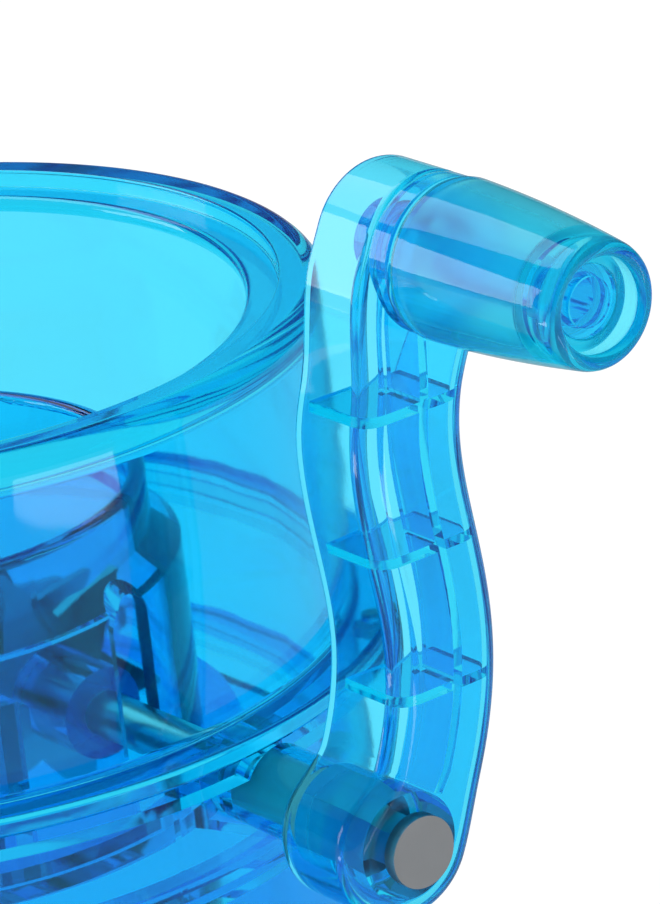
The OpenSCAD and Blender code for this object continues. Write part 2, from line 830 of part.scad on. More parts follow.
tub();
feed_tube();
tube_carrier();
carrier_screws();
housing();
base_plate();
rubber_feet();
base_screws();
seam_screws_set();
ice_drawer();
fixed_comb();
comb_screws();
drive_shaft();
rotor_blade_1();
rotor_blade_2();
rotor_blade_3();
rotor_blade_4();
rotor_spacers();
bush_right();
bush_left();
thrust_washer();
retaining_clip();
shaft_cap();
crank_arm();
hub_screw();
knob_spindle();
knob_washer();
crank_knob();
knob_plug();
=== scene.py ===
import math

import bmesh
import bpy
from mathutils import Matrix, Vector


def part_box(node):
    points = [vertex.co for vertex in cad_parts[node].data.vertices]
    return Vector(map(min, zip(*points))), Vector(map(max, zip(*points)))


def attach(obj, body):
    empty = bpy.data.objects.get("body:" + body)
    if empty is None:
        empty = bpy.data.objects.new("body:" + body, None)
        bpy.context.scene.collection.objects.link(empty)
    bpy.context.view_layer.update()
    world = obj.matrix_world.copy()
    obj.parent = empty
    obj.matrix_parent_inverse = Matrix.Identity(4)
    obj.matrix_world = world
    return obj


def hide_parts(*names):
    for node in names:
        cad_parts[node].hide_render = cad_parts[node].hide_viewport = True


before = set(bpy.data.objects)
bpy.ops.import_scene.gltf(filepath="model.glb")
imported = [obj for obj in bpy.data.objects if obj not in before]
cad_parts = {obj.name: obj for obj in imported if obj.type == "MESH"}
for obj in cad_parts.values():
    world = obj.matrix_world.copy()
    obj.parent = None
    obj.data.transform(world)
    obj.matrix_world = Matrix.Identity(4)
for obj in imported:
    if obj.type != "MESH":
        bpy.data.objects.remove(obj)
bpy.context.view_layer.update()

bl_info = {
    "name": "Hand-Crank Ice Crusher",
    "version": (1, 0, 0),
    "blender": (4, 5, 0),
    "location": "3D View > Sidebar > Crusher",
    "description": "Dresses the ice crusher in clear blue moulded plastic, steel and rubber",
    "category": "Object",
}

MM = 0.001
AIR = 0.03 * MM           # air that stays between two clear pieces that touch
SHARP = math.radians(32)  # edges that turn further than this stay sharp
PLASTIC_IOR = 1.49
PIN_IOR = 1.25            # low, so that the untinted pin stays faint inside the knob
BOUNCES = 64              # light crosses many clear layers and runs along inside the walls
WHITE = (1, 1, 1, 1)

# Faces round a turned piece
TUB_FACES = 256
KNOB_FACES = 192
COLLAR_FACES = 128
BAR_FACES = 96

# Places and radii that the frame holds
TUB_LOW, TUB_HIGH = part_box("tub")
TUBE_LOW, TUBE_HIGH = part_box("feed_tube")
ARM_LOW, ARM_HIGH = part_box("crank_arm")
KNOB_LOW, KNOB_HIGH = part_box("crank_knob")
BUSH_LOW, BUSH_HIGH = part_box("bush_right")

SEAM_Z = TUB_LOW.z
RIM_Z = TUB_HIGH.z
FLANGE_R = round(TUB_HIGH.x, 4)
SHAFT_Y = (BUSH_LOW.y + BUSH_HIGH.y) / 2
SHAFT_Z = (BUSH_LOW.z + BUSH_HIGH.z) / 2
KNOB_Y = (KNOB_LOW.y + KNOB_HIGH.y) / 2
KNOB_Z = (KNOB_LOW.z + KNOB_HIGH.z) / 2


# ---- sizes and colours ----

def length(name, default, description):
    """A size in metres."""
    return bpy.props.FloatProperty(
        name=name, description=description, default=default, min=0.0,
        subtype="DISTANCE", unit="LENGTH", precision=4)


def angle(name, default, description):
    """An angle, its default in degrees."""
    return bpy.props.FloatProperty(
        name=name, description=description, default=math.radians(default),
        subtype="ANGLE", unit="ROTATION")


def share(name, default, description):
    """A number from 0 to 1."""
    return bpy.props.FloatProperty(
        name=name, description=description, default=default, min=0.0, max=1.0,
        subtype="FACTOR")


def density(name, default, description):
    """A number per metre of plastic."""
    return bpy.props.FloatProperty(
        name=name, description=description, default=default, min=0.0)


def tint(name, default, description):
    """A colour without alpha."""
    return bpy.props.FloatVectorProperty(
        name=name, description=description, default=default, min=0.0, max=1.0,
        size=3, subtype="COLOR")


class TubSizes(bpy.types.PropertyGroup):
    """Sizes of the tub's wall, rim and flange."""
    wall: length("Wall", 3.0 * MM, "Thickness of the tub's wall")
    radius: length("Radius", FLANGE_R - 7.0 * MM, "Outer radius of the wall")
    rim_round: length("Rim rounding", 4.5 * MM, "Rounding of the rim's outer edge")
    land: length("Land", 3.5 * MM, "Width of the flat land on the rim")
    rebate: length("Rebate", 3.0 * MM, "Depth of the lid rebate")
    ledge: length("Ledge", 6.0 * MM, "Width of the ledge in the rebate")
    ledge_t: length("Ledge thickness", 3.0 * MM, "Thickness of the ledge")
    flange_t: length("Flange thickness", 3.0 * MM, "Thickness of the seam flange")
    edge: length("Edge break", 0.45 * MM, "Rounding of the small moulded edges")


class BarSizes(bpy.types.PropertyGroup):
    """Dark bar in the feed tube's wall: painted shade standing for the dark band that the clear
    wall shows where light runs a long way through it.
    """
    low: length("Low radius", 50.5 * MM, "Outer radius of the tube below its step")
    top: length("Top radius", 46.0 * MM, "Outer radius of the tube above its step")
    wall: length("Wall", 3.2 * MM, "Thickness of the tube's wall")
    step: length("Step", 37.0 * MM, "Height of the step above the tube's foot")
    cone: length("Cone", 4.0 * MM, "Height of the cone at the step")
    inset: length("Inset", 0.3 * MM, "Distance between the bar and the wall's two faces")
    foot: length("Foot", 3.4 * MM, "Height of the bar's lower end above the tube's foot")
    head: length("Head", 1.6 * MM, "Distance of the bar's upper end below the tube's rim")
    azimuth: angle("Azimuth", 47.0, "Direction of the bar's middle, from +X towards +Y")
    spread: angle("Spread", 22.0, "Angle that the bar takes up round the tube")


class ArmSizes(bpy.types.PropertyGroup):
    """Sizes of the crank arm's channel, ribs, hub and collar."""
    width: length("Width", 25.5 * MM, "Width of the round ends")
    front_in: length("Front waist", 4.1 * MM, "How far the front side moves in between the ends")
    back_in: length("Back waist", 0.7 * MM, "How far the back side moves in between the ends")
    depth: length("Depth", 18.4 * MM, "Depth of the channel")
    knob_cut: length("Knob cut", 3.2 * MM, "How much shallower the channel is at the knob")
    wall: length("Wall", 2.0 * MM, "Thickness of skin and side walls")
    corner: length("Corner", 4.0 * MM, "Rounding between skin and side walls")
    wave: length("Wave", 4.7 * MM, "Swing of the arm to each side of a straight line")
    rib: length("Rib", 1.7 * MM, "Thickness of the ribs")
    rib_recess: length("Rib recess", 3.2 * MM, "How far the ribs stay below the open edge")
    spine: length("Spine", 8.0 * MM, "Height of the long rib")
    spine_back: length("Spine place", 3.7 * MM, "How far the long rib lies behind the middle line")
    collar: length("Collar", 3.2 * MM, "Height of the round collar under the knob")
    collar_wall: length("Collar wall", 1.6 * MM, "Thickness of the collar's ring")
    hub: length("Hub", 9.0 * MM, "Radius of the hub")
    boss: length("Boss", 6.5 * MM, "Radius of the boss behind the knob")


class KnobSizes(bpy.types.PropertyGroup):
    """Sizes of the turning knob."""
    big: length("Big end", 13.1 * MM, "Radius of the big end")
    small: length("Small end", 10.0 * MM, "Radius of the small end")
    bulge: length("Bulge", 0.5 * MM, "Bulge of the knob's side")
    wall: length("Wall", 2.2 * MM, "Thickness of the knob's wall")
    recess: length("Recess", 4.0 * MM, "Depth of the recess in the end")
    face_t: length("End face", 4.5 * MM, "Thickness of the end face")
    pocket: length("Pocket", 5.8 * MM, "Radius of the pocket behind the plug")
    sleeve: length("Sleeve", 4.35 * MM, "Outer radius of the inner sleeve")
    bore: length("Bore", 3.05 * MM, "Radius of the sleeve's bore")
    web: length("Web", 1.5 * MM, "Thickness of the web that joins the sleeve to the end face")


class Finishes(bpy.types.PropertyGroup):
    """Colours and gloss of the plastics, metals and rubber."""
    blue: tint("Blue", (0.0, 0.91, 0.965), "Colour that passes through the clear blue plastic")
    blue_depth: density("Blue depth", 150.0, "How fast the plastic takes light away, per metre")
    deep: tint("Deep blue", (0.0, 0.86, 0.955), "Colour that passes through the inner parts")
    deep_depth: density(
        "Deep blue depth", 160.0, "How fast the inner parts take light away, per metre")
    veil: tint("Veil", (0.15, 0.77, 0.99), "Colour of the plastic's surface")
    clearness: share(
        "Clearness", 1.0, "Share of the light that the plastic lets through; the rest is haze")
    knob_veil: tint("Knob veil", (0.26, 0.87, 1.0), "Colour of the knob's surface")
    # painted shade: this navy colours a bar that stands for the dark band of the clear tube wall,
    # where light runs a long way through it
    painted_shade_navy: tint("Navy", (0.005, 0.07, 0.38), "Colour of the bar in the feed tube")
    natural: tint("Natural", (0.85, 0.97, 1.0), "Colour that passes through the untinted pin")
    natural_depth: density(
        "Natural depth", 30.0, "How fast the untinted pin takes light away, per metre")
    gloss: share("Gloss roughness", 0.03, "Roughness of the polished plastic")
    satin: share("Satin roughness", 0.28, "Roughness that the inside of the knob has in addition")
    steel: tint("Steel", (0.66, 0.68, 0.70), "Colour of the steel")
    rubber: tint("Rubber", (0.03, 0.03, 0.035), "Colour of the feet")
    bush: tint("Bush", (0.80, 0.79, 0.74), "Colour of the bushes")


class StageSettings(bpy.types.PropertyGroup):
    """Floor, light and camera."""
    floor: tint("Floor", (0.40, 0.41, 0.42), "Colour of the floor")
    glow: share("Floor glow", 0.72, "How much white the floor shows on top of its own colour")
    level: share("Light level", 0.62, "Level of the light from all round")
    mirrored: share(
        "Mirrored background", 0.06, "How much of the white background shows in reflections")
    lens: bpy.props.FloatProperty(
        name="Lens", description="Focal length", default=240.47, min=1.0, unit="CAMERA")


# ---- meshes ----

def rounded_path(corners, steps=5):
    """Points of a closed outline whose corners (x, y, radius) are rounded with arcs."""
    out = []
    count = len(corners)
    for i, (x, y, radius) in enumerate(corners):
        if radius <= 0:
            out.append((x, y))
            continue
        here = Vector((x, y))
        back = Vector(corners[i - 1][:2]) - here
        ahead = Vector(corners[(i + 1) % count][:2]) - here
        half = back.angle(ahead) / 2
        reach = min(radius / math.tan(half), back.length / 2, ahead.length / 2)
        radius = reach * math.tan(half)
        back.normalize()
        ahead.normalize()
        centre = here + (back + ahead).normalized() * (radius / math.sin(half))
        start = here + back * reach - centre
        end = here + ahead * reach - centre
        turn = math.atan2(start.x * end.y - start.y * end.x, start.dot(end))
        for k in range(steps + 1):
            a = turn * k / steps
            out.append((
                centre.x + start.x * math.cos(a) - start.y * math.sin(a),
                centre.y + start.x * math.sin(a) + start.y * math.cos(a)))
    return out


def arc(centre_a, centre_b, radius, start, end, steps):
    """Points (a, b) on an arc, angles in degrees."""
    angles = [math.radians(start + (end - start) * k / steps) for k in range(steps + 1)]
    return [(centre_a + radius * math.cos(t), centre_b + radius * math.sin(t)) for t in angles]


def loft(bm, rings, closed_rings):
    """Joins rings of points with faces; a ring of one point is a pole."""
    made = [[bm.verts.new(p) for p in ring] for ring in rings]
    count = max(len(ring) for ring in made)
    last = len(made) if closed_rings else len(made) - 1
    for i in range(last):
        a, b = made[i], made[(i + 1) % len(made)]
        if len(a) == 1 and len(b) == 1:
            continue
        for k in range(count):
            n = (k + 1) % count
            if len(a) == 1:
                bm.faces.new((a[0], b[n], b[k]))
            elif len(b) == 1:
                bm.faces.new((a[k], a[n], b[0]))
            else:
                bm.faces.new((a[k], a[n], b[n], b[k]))
    return made


def linked(name, data):
    """A new object in the scene."""
    made = bpy.data.objects.new(name, data)
    bpy.context.scene.collection.objects.link(made)
    return made


def new_object(name, bm):
    """Turns a bmesh into an object whose faces look outwards."""
    bmesh.ops.recalc_face_normals(bm, faces=bm.faces)
    mesh = bpy.data.meshes.new(name)
    bm.to_mesh(mesh)
    bm.free()
    return linked(name, mesh)


def shade(piece):
    """Smooth faces, sharp edges by angle, and normals that keep flat faces flat."""
    mesh = piece.data
    mesh.polygons.foreach_set("use_smooth", [True] * len(mesh.polygons))
    mesh.set_sharp_from_angle(angle=SHARP)
    normals = piece.modifiers.new("Flat faces stay flat", "WEIGHTED_NORMAL")
    normals.keep_sharp = True
    return piece


def turned(name, path, faces, along="Z", centre=(0, 0, 0)):
    """A closed body of revolution from points (radius, distance along the axis)."""
    bm = bmesh.new()
    rings = []
    for radius, height in path:
        if radius <= 0:
            rings.append([Vector((0, 0, height))])
            continue
        rings.append([
            Vector((radius * math.cos(a), radius * math.sin(a), height))
            for a in (2 * math.pi * k / faces for k in range(faces))])
    loft(bm, rings, closed_rings=True)
    if along == "X":
        quarter_turn = Matrix.Rotation(math.pi / 2, 4, "Y")
        bmesh.ops.transform(bm, matrix=quarter_turn, verts=bm.verts)
    bmesh.ops.translate(bm, vec=Vector(centre), verts=bm.verts)
    return new_object(name, bm)


def round_bar(name, x0, x1, radius, y, z, edge):
    """A bar along X with broken edges."""
    path = rounded_path(
        [(0, x0, 0), (radius, x0, edge), (radius, x1, edge), (0, x1, 0)], steps=4)
    return turned(name, path, BAR_FACES, "X", (0, y, z))


def prism(name, rings):
    """A closed body lofted through rings, with a flat cap at both ends."""
    bm = bmesh.new()
    made = loft(bm, rings, closed_rings=False)
    bm.faces.new(made[0])
    bm.faces.new(made[-1])
    return new_object(name, bm)


def joined(base, parts):
    """Joins closed solids to the base, as one closed mesh."""
    group = bpy.data.collections.new("Joining")
    bpy.context.scene.collection.children.link(group)
    for part in parts:
        bpy.context.scene.collection.objects.unlink(part)
        group.objects.link(part)
    union = base.modifiers.new("Join", "BOOLEAN")
    union.operation = "UNION"
    union.solver = "EXACT"
    union.operand_type = "COLLECTION"
    union.collection = group
    bpy.context.view_layer.update()
    graph = bpy.context.evaluated_depsgraph_get()
    mesh = bpy.data.meshes.new_from_object(base.evaluated_get(graph))
    base.modifiers.clear()
    base.data = mesh
    for part in parts:
        bpy.data.objects.remove(part)
    bpy.data.collections.remove(group)
    if not mesh.polygons:
        raise RuntimeError(f"{base.name}: joining its solids left nothing")
    return base


def slimmed(name, node_name):
    """A copy of a CAD node, a hair inside it, so that clear pieces keep air between them."""
    def rounded(vertex):
        return tuple(round(v, 6) for v in vertex.co)

    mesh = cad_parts[node_name].data.copy()
    mesh.name = name
    facing = {}
    for face in mesh.polygons:
        for index in face.vertices:
            found = facing.setdefault(rounded(mesh.vertices[index]), [])
            for normal in found:
                if normal.normalized().dot(face.normal) > math.cos(SHARP):
                    normal += face.normal * face.area
                    break
            else:
                found.append(face.normal * face.area)
    longest_step = 2  # a sharp corner moves at most twice as far as a face
    for vertex in mesh.vertices:
        step = sum((normal.normalized() for normal in facing[rounded(vertex)]), Vector())
        if step.length > longest_step:
            step = step.normalized() * longest_step
        vertex.co -= step * AIR
    return linked(name, mesh)


# ---- shader node groups ----

def node(tree, kind, **values):
    """A new node with some of its properties set."""
    made = tree.nodes.new(kind)
    for key, value in values.items():
        setattr(made, key, value)
    return made


def feed(tree, socket, value):
    """Gives a socket a number, a vector or a link."""
    if isinstance(value, (int, float, tuple)):
        socket.default_value = value
    else:
        tree.links.new(value, socket)


def math_node(tree, operation, first, second, clamp=False):
    """The value of a Math node over two links or numbers."""
    made = node(tree, "ShaderNodeMath", operation=operation, use_clamp=clamp)
    feed(tree, made.inputs[0], first)
    feed(tree, made.inputs[1], second)
    return made.outputs[0]


def varied(tree, base, value, amount):
    """The base plus an amount of a value."""
    return math_node(tree, "ADD", base, math_node(tree, "MULTIPLY", value, amount))


def vector_node(tree, operation, *values):
    """A Vector Math node over links or vectors."""
    made = node(tree, "ShaderNodeVectorMath", operation=operation)
    for socket, value in zip(made.inputs, values):
        feed(tree, socket, value)
    return made


def object_place(tree):
    """The place on the object, in metres."""
    return node(tree, "ShaderNodeTexCoord").outputs["Object"]


def noise(tree, vector, scale, detail, rough=0.5):
    """A noise texture's value."""
    made = node(tree, "ShaderNodeTexNoise")
    feed(tree, made.inputs["Vector"], vector)
    feed(tree, made.inputs["Scale"], scale)
    feed(tree, made.inputs["Detail"], detail)
    feed(tree, made.inputs["Roughness"], rough)
    return made.outputs["Fac"]


def new_group(name, inputs, outputs):
    """An empty shader node group, with the sockets that give its inputs and take its outputs."""
    group = bpy.data.node_groups.new(name, "ShaderNodeTree")
    for label, value in inputs.items():
        kind = "NodeSocketVector" if isinstance(value, tuple) else "NodeSocketFloat"
        socket = group.interface.new_socket(label, in_out="INPUT", socket_type=kind)
        socket.default_value = value
    for label in outputs:
        group.interface.new_socket(label, in_out="OUTPUT", socket_type="NodeSocketFloat")
    given = group.nodes.new("NodeGroupInput")
    out = group.nodes.new("NodeGroupOutput")
    return group, given.outputs, out.inputs


def moulded_surface_group():
    """Slow waves and fine specks of moulded plastic."""
    group, given, out = new_group(
        "Moulded Surface",
        {"Wave Scale": 60.0, "Speck Scale": 1800.0, "Gloss": 0.03, "Gloss Spread": 0.03},
        ("Height", "Roughness"))
    place = object_place(group)
    wave = noise(group, place, given["Wave Scale"], detail=1.0)
    speck = noise(group, place, given["Speck Scale"], detail=3.0, rough=0.6)
    smear_scale = math_node(group, "MULTIPLY", given["Wave Scale"], 2.5)
    smear = noise(group, place, smear_scale, detail=4.0)
    feed(group, out["Height"], varied(group, wave, speck, amount=0.01))
    feed(group, out["Roughness"], varied(group, given["Gloss"], smear, given["Gloss Spread"]))
    return group


def brushed_surface_group():
    """Fine lines left by grinding, along one axis, and slow stains."""
    group, given, out = new_group(
        "Brushed Surface",
        {"Stretch": (40.0, 2600.0, 2600.0), "Gloss": 0.25},
        ("Height", "Roughness", "Shade"))
    place = object_place(group)
    stretched = vector_node(group, "MULTIPLY", place, given["Stretch"]).outputs["Vector"]
    lines = noise(group, stretched, scale=1.0, detail=3.0, rough=0.65)
    stain = noise(group, place, scale=90.0, detail=3.0)
    feed(group, out["Height"], lines)
    feed(group, out["Roughness"], varied(group, given["Gloss"], lines, amount=0.18))
    feed(group, out["Shade"], varied(group, 0.88, stain, amount=0.16))
    return group


def grained_surface_group():
    """The dull grain of rubber and matt plastic, and a little dust."""
    group, given, out = new_group(
        "Grained Surface",
        {"Scale": 1400.0, "Gloss": 0.6},
        ("Height", "Roughness", "Shade"))
    place = object_place(group)
    grain = noise(group, place, given["Scale"], detail=4.0, rough=0.6)
    dust = noise(group, place, scale=120.0, detail=4.0)
    feed(group, out["Height"], grain)
    feed(group, out["Roughness"], varied(group, given["Gloss"], grain, amount=0.2))
    feed(group, out["Shade"], varied(group, 0.85, dust, amount=0.3))
    return group


def satin_bore_group():
    """Rougher plastic in the bore of a tapered handle that lies along X.

    The outside, the core and everything past the end stay glossy."""
    group, given, out = new_group(
        "Satin Bore",
        {"Axis": (0.0, 0.0, 0.0), "Start": 0.0, "End": 1.0, "Radius": 0.01, "Taper": 0.1,
         "Core": 0.0, "Satin": 0.3, "Gloss": 0.03},
        ("Roughness",))
    place = object_place(group)
    split = node(group, "ShaderNodeSeparateXYZ")
    feed(group, split.inputs[0], place)
    along = split.outputs["X"]
    away = vector_node(group, "SUBTRACT", place, given["Axis"]).outputs["Vector"]
    across = vector_node(group, "MULTIPLY", away, (0.0, 1.0, 1.0)).outputs["Vector"]
    radius = vector_node(group, "LENGTH", across).outputs["Value"]
    loss = math_node(
        group, "MULTIPLY", math_node(group, "SUBTRACT", along, given["Start"]), given["Taper"])
    limit = math_node(group, "SUBTRACT", given["Radius"], loss)
    inside = math_node(group, "LESS_THAN", radius, limit)
    before_end = math_node(group, "LESS_THAN", along, given["End"])
    outside_core = math_node(group, "GREATER_THAN", radius, given["Core"])
    bore = math_node(
        group, "MULTIPLY", math_node(group, "MULTIPLY", inside, before_end), outside_core)
    feed(group, out["Roughness"], varied(group, given["Gloss"], bore, given["Satin"]))
    return group


def placed(tree, group, **values):
    """A group node with its own input values; an underscore stands for a space."""
    made = node(tree, "ShaderNodeGroup", node_tree=group)
    for label, value in values.items():
        made.inputs[label.replace("_", " ")].default_value = value
    return made


# ---- materials ----

def new_material(name):
    """A material, its nodes and its Principled shader."""
    material = bpy.data.materials.new(name)
    material.use_nodes = True
    tree = material.node_tree
    return material, tree, tree.nodes["Principled BSDF"]


def surfaced(tree, shader, surface, relief):
    """Gives the shader a surface group's roughness, and its height as a bump.

    The relief is the bump's depth in metres."""
    bump = node(tree, "ShaderNodeBump")
    bump.inputs["Distance"].default_value = relief
    tree.links.new(surface.outputs["Height"], bump.inputs["Height"])
    tree.links.new(bump.outputs["Normal"], shader.inputs["Normal"])
    tree.links.new(surface.outputs["Roughness"], shader.inputs["Roughness"])


def clear_plastic(name, group, gloss, clearness, veil, colour, depth, relief, ior=PLASTIC_IOR):
    """Clear plastic, tinted at its surface and by the thickness that light passes."""
    _, tree, shader = new_material(name)
    shader.inputs["Base Color"].default_value = (*veil, 1)
    shader.inputs["Transmission Weight"].default_value = clearness
    shader.inputs["IOR"].default_value = ior
    surfaced(tree, shader, placed(tree, group, Gloss=gloss, Gloss_Spread=0.02), relief)
    volume = node(tree, "ShaderNodeVolumeAbsorption")
    volume.inputs["Color"].default_value = (*colour, 1)
    volume.inputs["Density"].default_value = depth
    tree.links.new(volume.outputs["Volume"], tree.nodes["Material Output"].inputs["Volume"])


def solid_material(name, group, colour, metallic, relief, **values):
    """Steel, rubber or matt plastic, a little lighter and darker from place to place."""
    _, tree, shader = new_material(name)
    shader.inputs["Metallic"].default_value = metallic
    surface = placed(tree, group, **values)
    mix = node(tree, "ShaderNodeMix", data_type="RGBA", blend_type="MULTIPLY")
    mix.inputs["Factor"].default_value = 1.0
    mix.inputs["A"].default_value = (*colour, 1)
    tree.links.new(surface.outputs["Shade"], mix.inputs["B"])
    tree.links.new(mix.outputs["Result"], shader.inputs["Base Color"])
    surfaced(tree, shader, surface, relief)


def dress(piece, material, body, slot, *nodes):
    """Gives a new piece its material and body, and hides the nodes that it stands for. The slot is
    not used.
    """
    piece.data.materials.clear()
    piece.data.materials.append(bpy.data.materials[material])
    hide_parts(*nodes)
    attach(piece, body)


# ---- crank arm's shape ----

def eased(t):
    """A smooth step from 0 to 1."""
    t = max(0.0, min(1.0, t))
    return t * t * (3 - 2 * t)


class ArmShape:
    """The arm's middle line, and its outline at any half width."""

    # Shares of the height between shaft and knob
    waist_begin = 0.12  # the arm is narrow from here
    waist_end = 0.95    # the arm is at its full width from here
    waist_ease = 0.19   # height over which it widens before that
    cut_begin = 0.66    # the channel gets shallower from here
    cut_ease = 0.24     # height over which it does

    def __init__(self, sizes):
        self.rise = KNOB_Z - SHAFT_Z
        self.shift = KNOB_Y - SHAFT_Y
        self.wave = sizes.wave
        self.front_in = sizes.front_in
        self.back_in = sizes.back_in
        self.out_x = ARM_HIGH.x - sizes.collar
        self.cut = sizes.knob_cut / sizes.depth

    def waist(self, h):
        """0 at the hub and the knob, 1 where the arm is narrow between them."""
        narrowed = eased(h / (self.waist_begin * self.rise))
        return narrowed * eased((self.waist_end * self.rise - h) / (self.waist_ease * self.rise))

    def depth_share(self, h):
        """Share of the full depth that the channel has at a height."""
        return 1 - self.cut * eased((h - self.cut_begin * self.rise) / (self.cut_ease * self.rise))

    def middle(self, h):
        """How far the middle line lies behind the shaft at a height."""
        return self.shift * h / self.rise + self.wave * math.sin(2 * math.pi * h / self.rise)

    def slope(self, h):
        """How fast the middle line moves back with height."""
        turn = 2 * math.pi / self.rise
        return self.shift / self.rise + self.wave * turn * math.cos(turn * h)

    def side(self, h, offset):
        """Point (y, z) beside the middle line, as seen from the shaft."""
        s = self.slope(h)
        n = math.hypot(1, s)
        return self.middle(h) + offset / n, h - offset * s / n

    def outline(self, half, steps=64, arc_steps=40):
        """Closed outline with round ends, each point with its height along the arm."""
        def round_end(y, z, tilt):
            turns = [tilt + math.pi * k / arc_steps for k in range(1, arc_steps)]
            return [(y + half * math.cos(a), z + half * math.sin(a), z) for a in turns]

        span = [self.rise * i / steps for i in range(steps + 1)]
        out = [(*self.side(h, half - self.back_in * self.waist(h)), h) for h in span]
        out += round_end(self.shift, self.rise, -math.atan(self.slope(self.rise)))
        span.reverse()
        out += [(*self.side(h, self.front_in * self.waist(h) - half), h) for h in span]
        out += round_end(0.0, 0.0, math.pi - math.atan(self.slope(0)))
        return out

    def ring(self, half, x):
        """The outline at a half width, at x in the frame where the channel is at its deepest."""
        return [
            Vector((self.out_x - (self.out_x - x) * self.depth_share(h), SHAFT_Y + y, SHAFT_Z + z))
            for y, z, h in self.outline(half)]


# ---- operators ----

class CRUSHER_OT_finishes(bpy.types.Operator):
    """Makes the plastics, metals and rubber"""
    bl_idname = "crusher.finishes"
    bl_label = "Make Finishes"

    # Noise cells per metre across and along the lines that grinding leaves
    across, along = 2600.0, 60.0

    def execute(self, context):
        f = context.scene.crusher_finishes
        moulded = moulded_surface_group()
        brushed = brushed_surface_group()
        grained = grained_surface_group()
        for name, veil, colour, depth in (
                ("Clear Blue", f.veil, f.blue, f.blue_depth),
                ("Deep Blue", f.veil, f.deep, f.deep_depth),
                ("Knob Blue", f.knob_veil, f.blue, f.blue_depth)):
            clear_plastic(
                name, moulded, f.gloss, f.clearness, veil, colour, depth, relief=0.1 * MM)
        clear_plastic(
            "Natural Clear", moulded, f.gloss, f.clearness, f.natural, f.natural,
            f.natural_depth, relief=0.05 * MM, ior=PIN_IOR)
        for name, gloss, stretch in (
                ("Blade Steel", 0.22, (self.across, self.along, self.across)),
                ("Screw Steel", 0.30, (self.across, self.across, self.along))):
            solid_material(
                name, brushed, f.steel, metallic=1.0, relief=0.02 * MM,
                Gloss=gloss, Stretch=stretch)
        for name, colour, gloss, scale in (
                ("Foot Rubber", f.rubber, 0.62, 1500.0),
                ("Bush Plastic", f.bush, 0.35, 900.0),
                # painted shade: an opaque dark bar for the dark band of the clear tube wall
                ("Navy Bar", f.painted_shade_navy, 0.25, 600.0)):
            solid_material(
                name, grained, colour, metallic=0.0, relief=0.04 * MM,
                Gloss=gloss, Scale=scale)
        return {"FINISHED"}


class CRUSHER_OT_nodes(bpy.types.Operator):
    """Gives the parts that keep their own shape their finishes, and slims those that touch"""
    bl_idname = "crusher.nodes"
    bl_label = "Dress Carried-Over Parts"

    finishes = {
        "clear_blue": "Clear Blue", "deep_blue": "Deep Blue", "natural_clear": "Natural Clear",
        "steel": "Blade Steel", "fastener_steel": "Screw Steel",
        "bush_plastic": "Bush Plastic", "foot_rubber": "Foot Rubber"}

    # Clear parts that touch other clear parts: name, body and slot
    clear_parts = {
        "feed_tube": ("root", "deep_blue"), "tube_carrier": ("root", "clear_blue"),
        "base_plate": ("root", "deep_blue"), "shaft_cap": ("root", "clear_blue"),
        "ice_drawer": ("drawer", "clear_blue"), "rotor_spacers": ("crank", "deep_blue"),
        "knob_spindle": ("crank", "natural_clear"), "knob_washer": ("crank", "natural_clear"),
        "knob_plug": ("knob", "deep_blue")}

    def execute(self, context):
        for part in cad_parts.values():
            for held in part.material_slots:
                held.material = bpy.data.materials[self.finishes[held.material.name]]
        for name, (body, slot) in self.clear_parts.items():
            dress(slimmed(name + "_clear", name), self.finishes[slot], body, slot, name)
        return {"FINISHED"}


class CRUSHER_OT_tub(bpy.types.Operator):
    """Makes the tub with its rounded rim, lid rebate and seam flange"""
    bl_idname = "crusher.tub"
    bl_label = "Make Tub"

    flange_round = 0.9 * MM   # rounding of the flange's upper edge
    wall_fillet = 1.2 * MM    # rounding where the wall stands on the flange
    ledge_fillet = 1.4 * MM   # rounding where the ledge leaves the wall
    nose_gap = 0.01 * MM      # what the ledge's nose lacks to a full half circle

    def execute(self, context):
        s = context.scene.crusher_tub
        inner = s.radius - s.wall
        land_in = s.radius - s.rim_round - s.land
        mouth = land_in - s.ledge
        foot = SEAM_Z + AIR
        flange_top = SEAM_Z + s.flange_t
        ledge_top = RIM_Z - s.rebate
        ledge_low = ledge_top - s.ledge_t
        nose = s.ledge_t / 2 - self.nose_gap
        path = rounded_path([
            (inner, foot, s.edge), (FLANGE_R, foot, s.edge),
            (FLANGE_R, flange_top, self.flange_round), (s.radius, flange_top, self.wall_fillet),
            (s.radius, RIM_Z, s.rim_round), (land_in, RIM_Z, s.edge),
            (land_in, ledge_top, s.edge), (mouth, ledge_top, nose),
            (mouth, ledge_low, nose), (inner, ledge_low, self.ledge_fillet)], steps=7)
        tub = shade(turned("tub_shell", path, TUB_FACES))
        dress(tub, "Clear Blue", "root", "clear_blue", "tub")
        return {"FINISHED"}


